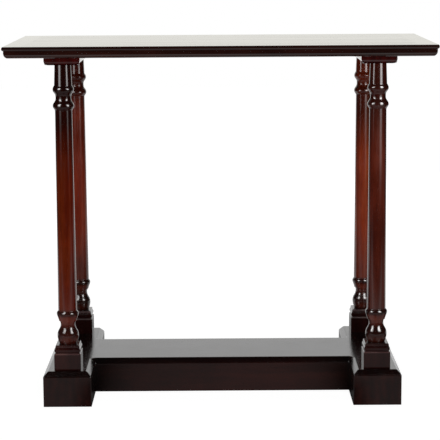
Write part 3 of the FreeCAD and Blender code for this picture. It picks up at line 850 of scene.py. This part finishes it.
def makeFloor():
    bm = bmesh.new()
    bmesh.ops.create_grid(bm, x_segments=4, y_segments=4, size=studio["floorSize"] / 2)
    tree, output = stageMesh("studioFloor", bm)[1:]
    link = tree.links.new
    coord = addNode(tree, "ShaderNodeTexCoord", (-1700, -400))
    parts = addNode(tree, "ShaderNodeSeparateXYZ", (-1500, -400))
    link(coord.outputs["Object"], parts.inputs["Vector"])
    reach = addNode(tree, "ShaderNodeVectorMath", (-1300, -150), operation="LENGTH")
    link(coord.outputs["Object"], reach.inputs[0])

    # to the camera: white paper with a faint shadow
    paper = addNode(tree, "ShaderNodeBsdfDiffuse", (-300, 0))
    paper.inputs["Color"].default_value = (studio["floorShare"],) * 3 + (1.0,)
    glow = addNode(tree, "ShaderNodeEmission", (-300, 140))
    seen = addNode(tree, "ShaderNodeAddShader", (0, 60))
    link(paper.outputs["BSDF"], seen.inputs[0])
    link(glow.outputs["Emission"], seen.inputs[1])
    link(levelRamp(tree, reach.outputs["Value"], studio["floorGlow"], (-1100, 140)), glow.inputs["Color"])

    # to the wood: lit paper round the table, darker further out
    bounce = addNode(tree, "ShaderNodeEmission", (-300, -150))
    link(levelRamp(tree, reach.outputs["Value"], studio["bounce"], (-1100, -150)), bounce.inputs["Color"])

    # to the polish: white behind the table, painted shadow below it, grey shade in front, then a painted band
    # of light, then dark
    aside = addNode(tree, "ShaderNodeMath", (-1300, -700), operation="ABSOLUTE")
    link(parts.outputs["X"], aside.inputs[0])
    mirror = addNode(tree, "ShaderNodeEmission", (-300, -400))
    link(levelRamp(tree, parts.outputs["Y"], studio["sweep"], (-1100, -400)), mirror.inputs["Color"])
    sides = levelRamp(tree, aside.outputs["Value"], studio["sideFade"], (-1100, -700))
    shade = levelRamp(tree, aside.outputs["Value"], studio["shade"], (-1100, -950))
    between = addNode(tree, "ShaderNodeMix", (-600, -800), data_type="RGBA", blend_type="MULTIPLY")
    link(levelRamp(tree, parts.outputs["Y"], studio["shadeReach"], (-1100, -1200)), between.inputs["Factor"])
    link(sides, between.inputs["A"])
    link(shade, between.inputs["B"])
    link(between.outputs["Result"], mirror.inputs["Strength"])
    lookByRay(tree, output, bounce.outputs["Emission"], mirror.outputs["Emission"], seen.outputs["Shader"])


def uprightSheet(spot, width, low, high):
    bm = bmesh.new()
    bm.loops.layers.uv.new("sheet")
    bmesh.ops.create_grid(bm, x_segments=1, y_segments=1, size=0.5, calc_uvs=True)
    bmesh.ops.scale(bm, vec=(width, high - low, 1.0), verts=bm.verts)
    bmesh.ops.rotate(bm, verts=bm.verts, cent=(0, 0, 0), matrix=Matrix.Rotation(math.radians(90), 3, "X"))
    facing = math.atan2(spot[0], -spot[1])
    bmesh.ops.rotate(bm, verts=bm.verts, cent=(0, 0, 0), matrix=Matrix.Rotation(facing, 3, "Z"))
    bmesh.ops.translate(bm, verts=bm.verts, vec=(*spot, (low + high) / 2))
    return bm


# a white sheet behind the table, a little warm higher up
def makeBackdrop():
    spot = (0.0, studio["backdropSpot"])
    sheet = uprightSheet(spot, 2 * studio["backdropHalf"], 0.0, studio["backdropHigh"])
    backdrop, tree, output = stageMesh("studioBackdrop", sheet)
    coord = addNode(tree, "ShaderNodeTexCoord", (-900, 0))
    parts = addNode(tree, "ShaderNodeSeparateXYZ", (-700, 0))
    tree.links.new(coord.outputs["Object"], parts.inputs["Vector"])
    tint = ramped(tree, parts.outputs["Z"], studio["backdropTint"], (-300, 0))
    glow = addNode(tree, "ShaderNodeEmission", (300, 0))
    setInputs(glow, Strength=studio["backdropGlow"])
    tree.links.new(tint, glow.inputs["Color"])
    tree.links.new(glow.outputs["Emission"], output.inputs["Surface"])
    showInPolishOnly(backdrop)


# soft boxes beside the table: full brightness in the middle, fading to the edges and downwards
def makeBox(look):
    levels = look["levels"]
    sheet = uprightSheet(look["spot"], look["width"], levels[0][0], levels[-1][0])
    box, tree, output = stageMesh(look["name"], sheet, lamp=True)
    link = tree.links.new
    coord = addNode(tree, "ShaderNodeTexCoord", (-1100, 0))
    place = addNode(tree, "ShaderNodeSeparateXYZ", (-900, 100))
    link(coord.outputs["Object"], place.inputs["Vector"])
    flat = addNode(tree, "ShaderNodeSeparateXYZ", (-900, -200))
    link(coord.outputs["UV"], flat.inputs["Vector"])
    glow = addNode(tree, "ShaderNodeEmission", (500, 0))
    link(levelRamp(tree, place.outputs["Z"], levels, (-600, 100)), glow.inputs["Color"])
    link(levelRamp(tree, flat.outputs["X"], studio["boxFade"], (-600, -200)), glow.inputs["Strength"])
    gauze = addNode(tree, "ShaderNodeBsdfTransparent", (500, -150))
    lit = addNode(tree, "ShaderNodeAddShader", (700, 0))
    link(glow.outputs["Emission"], lit.inputs[0])
    link(gauze.outputs["BSDF"], lit.inputs[1])
    link(lit.outputs["Shader"], output.inputs["Surface"])
    showInPolishOnly(box)


def makeFlag(look):
    sheet = uprightSheet(look["spot"], look["width"], look["low"], look["high"])
    flag, tree, output = stageMesh(look["name"], sheet)
    glow = addNode(tree, "ShaderNodeEmission", (500, 0))
    setInputs(glow, Strength=look["glow"])
    tree.links.new(glow.outputs["Emission"], output.inputs["Surface"])
    showInPolishOnly(flag)


def makeFill(look):
    lamp = bpy.data.lights.new(look["name"], "AREA")
    lamp.size = look["size"]
    lamp.energy = look["power"]
    fill = bpy.data.objects.new(look["name"], lamp)
    bpy.context.scene.collection.objects.link(fill)
    fill.location = look["spot"]
    fill.rotation_euler = (Vector(studio["fillAim"]) - fill.location).to_track_quat("-Z", "Y").to_euler()
    fill.visible_camera = False
    fill.visible_glossy = False


def makeWorld():
    world = bpy.data.worlds.new("studio")
    bpy.context.scene.world = world
    world.use_nodes = True
    tree = world.node_tree
    tree.nodes.clear()
    output = addNode(tree, "ShaderNodeOutputWorld", (900, 0))
    skies = []
    for strength in (studio["ambient"], studio["room"], studio["white"]):
        sky = addNode(tree, "ShaderNodeBackground", (0, 200))
        setInputs(sky, Color=(1.0, 1.0, 1.0, 1.0), Strength=strength)
        skies.append(sky.outputs["Background"])
    lookByRay(tree, output, *skies)


makeFloor()
makeBackdrop()
makeWorld()
for boxLook in studio["boxes"]:
    makeBox(boxLook)
makeFlag(studio["flag"])
for fillLook in studio["fills"]:
    makeFill(fillLook)
print("studio made")


# camera: its place in mm, turned by yaw, pitch and roll, with the focal length in pixels of the frame

viewpoint = {
    "spot": (-10.5, -3732.0, 965.2), "yaw": 0.0021, "pitch": 0.1596, "roll": -0.0060,
    "focal": 1705.0, "frame": 440, "sensor": 36.0, "reach": 50.0,
}


def makeCamera():
    v = viewpoint
    cy, sy = math.cos(v["yaw"]), math.sin(v["yaw"])
    cp, sp = math.cos(v["pitch"]), math.sin(v["pitch"])
    ahead = Vector((sy * cp, cy * cp, -sp))
    right = Vector((cy, -sy, 0.0))
    above = right.cross(ahead)
    cr, sr = math.cos(v["roll"]), math.sin(v["roll"])
    acrossAxis = right * cr + above * sr
    upAxis = above * cr - right * sr
    data = bpy.data.cameras.new("studioCamera")
    data.sensor_width = v["sensor"]
    data.lens = v["focal"] / v["frame"] * v["sensor"]
    data.clip_end = v["reach"]
    camera = bpy.data.objects.new("studioCamera", data)
    bpy.context.scene.collection.objects.link(camera)
    place = Matrix((acrossAxis, upAxis, -ahead)).transposed().to_4x4()
    place.translation = Vector(v["spot"]) * mm
    camera.matrix_world = place
    bpy.context.scene.camera = camera


makeCamera()
bpy.context.scene.view_settings.view_transform = "Standard"
